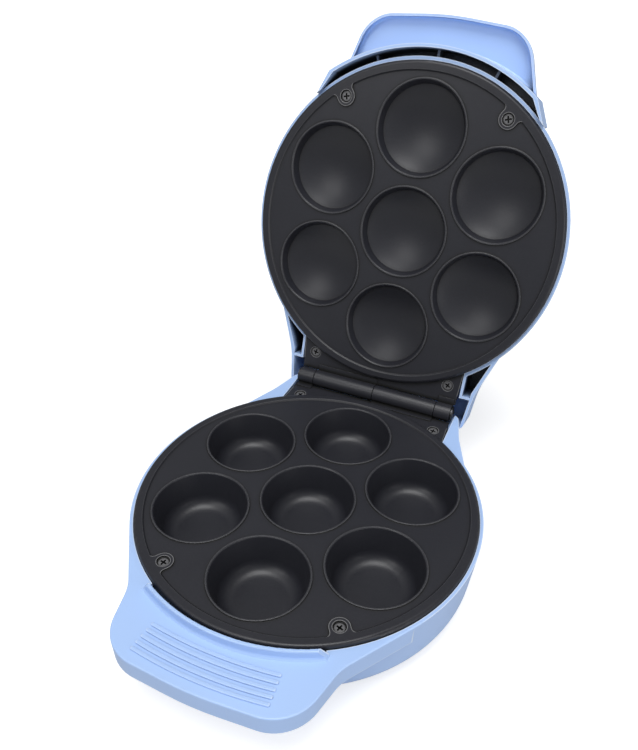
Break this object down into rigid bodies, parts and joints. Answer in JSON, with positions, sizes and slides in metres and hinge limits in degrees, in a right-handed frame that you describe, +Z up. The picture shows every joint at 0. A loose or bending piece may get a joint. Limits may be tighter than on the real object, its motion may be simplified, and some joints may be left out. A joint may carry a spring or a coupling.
{
  "type": "cupcake maker",
  "caption": "Countertop cupcake maker with a hinged lid, round baking plates with cups below and shallow domes above, and a moulded casing with front handles.",
  "frame": {"origin": "on the table under the middle of the lower plate", "axes": "+Z up, -Y towards the handles, +X to the right when facing the appliance from its handles, along the hinge pin"},
  "size_m": [0.1986, 0.3322, 0.2596],
  "materials": {
    "light_blue_plastic": "moulded, fine satin grain",
    "black_non_stick": "matte non-stick coating on die-cast aluminium",
    "dark_screw_steel": "black oxide, satin",
    "pin_steel": "drawn, satin",
    "clip_steel": "spring steel, satin",
    "element_steel": "heat-tinted sheath",
    "shield_steel": "bright hot-dip coated sheet",
    "clamp_steel": "zinc-plated strip",
    "small_screw_steel": "zinc-plated",
    "foot_rubber": "soft matte",
    "red_lens": "clear red",
    "green_lens": "clear green",
    "lamp_glass": "clear glass bulb",
    "thermostat_ceramic": "unglazed ceramic with a metal cap",
    "bracket_steel": "zinc-plated spring strip",
    "fuse_sleeve": "woven glass sleeve",
    "terminal_ceramic": "unglazed ceramic",
    "lead_silicone": "silicone and glass braid",
    "clamp_nylon": "nylon"
  },
  "bodies": {
    "base": {"base_housing": "light_blue_plastic", "lower_plate": "black_non_stick", "hinge_pin": "pin_steel", "hinge_pin_clips": "clip_steel", "lower_plate_screws": "dark_screw_steel", "thermostat": "thermostat_ceramic", "thermostat_bracket": "bracket_steel", "thermal_fuse": "fuse_sleeve", "terminal_block": "terminal_ceramic", "base_leads": "lead_silicone", "foot_front_left": "foot_rubber", "foot_front_right": "foot_rubber", "foot_rear_left": "foot_rubber", "foot_rear_right": "foot_rubber", "lower_heating_element": "element_steel", "lower_heat_shield": "shield_steel", "lower_element_clamp_1": "clamp_steel", "lower_element_clamp_2": "clamp_steel", "lower_element_clamp_3": "clamp_steel", "lower_clamp_screws": "small_screw_steel", "lower_shield_screws": "small_screw_steel"},
    "lid": {"lid_housing": "light_blue_plastic", "upper_plate": "black_non_stick", "upper_plate_screws": "dark_screw_steel", "upper_heating_element": "element_steel", "upper_heat_shield": "shield_steel", "upper_element_clamp_1": "clamp_steel", "upper_element_clamp_2": "clamp_steel", "upper_element_clamp_3": "clamp_steel", "upper_clamp_screws": "small_screw_steel", "upper_shield_screws": "small_screw_steel", "power_lamp_lens": "red_lens", "power_lamp": "lamp_glass", "ready_lamp_lens": "green_lens", "ready_lamp": "lamp_glass", "lid_leads": "lead_silicone", "lid_lead_clamp": "clamp_nylon"}
  },
  "joints": [
    {"name": "lid_hinge", "type": "hinge", "parent": "base", "child": "lid", "pos_m": [0, 0.1072, 0.047], "axis": [1, 0, 0], "range_deg": [0, 108.4]}
  ]
}
